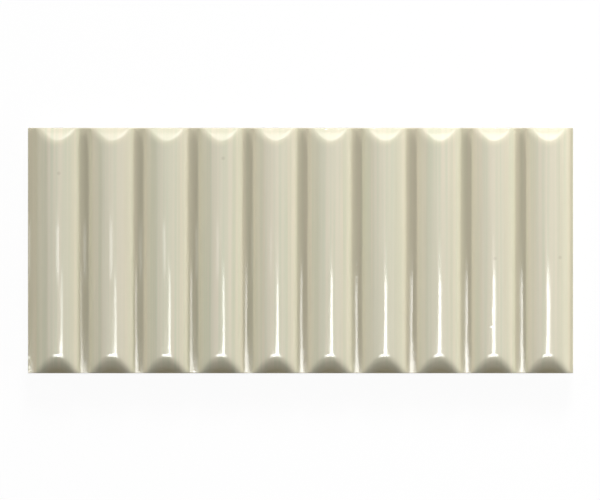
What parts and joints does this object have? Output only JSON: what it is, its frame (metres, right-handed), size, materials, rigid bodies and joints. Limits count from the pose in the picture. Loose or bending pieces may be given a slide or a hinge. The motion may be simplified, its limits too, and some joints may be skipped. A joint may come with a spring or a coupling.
{
  "type": "fluted wall tile",
  "caption": "Oblong glazed ceramic wall tile with rounded ribs across its face, narrow flat channels between them, bevelled rib ends and a keyed back for adhesive.",
  "frame": {"origin": "centre of the tile's back, on the plane of the back", "axes": "+X along the tile's length, across the ribs; +Y along the ribs; +Z out of the glazed face"},
  "size_m": [0.2, 0.09, 0.0105],
  "materials": {
    "glazed_body": "gloss"
  },
  "bodies": {
    "root": {"fluted_tile": "glazed_body"}
  },
  "joints": []
}
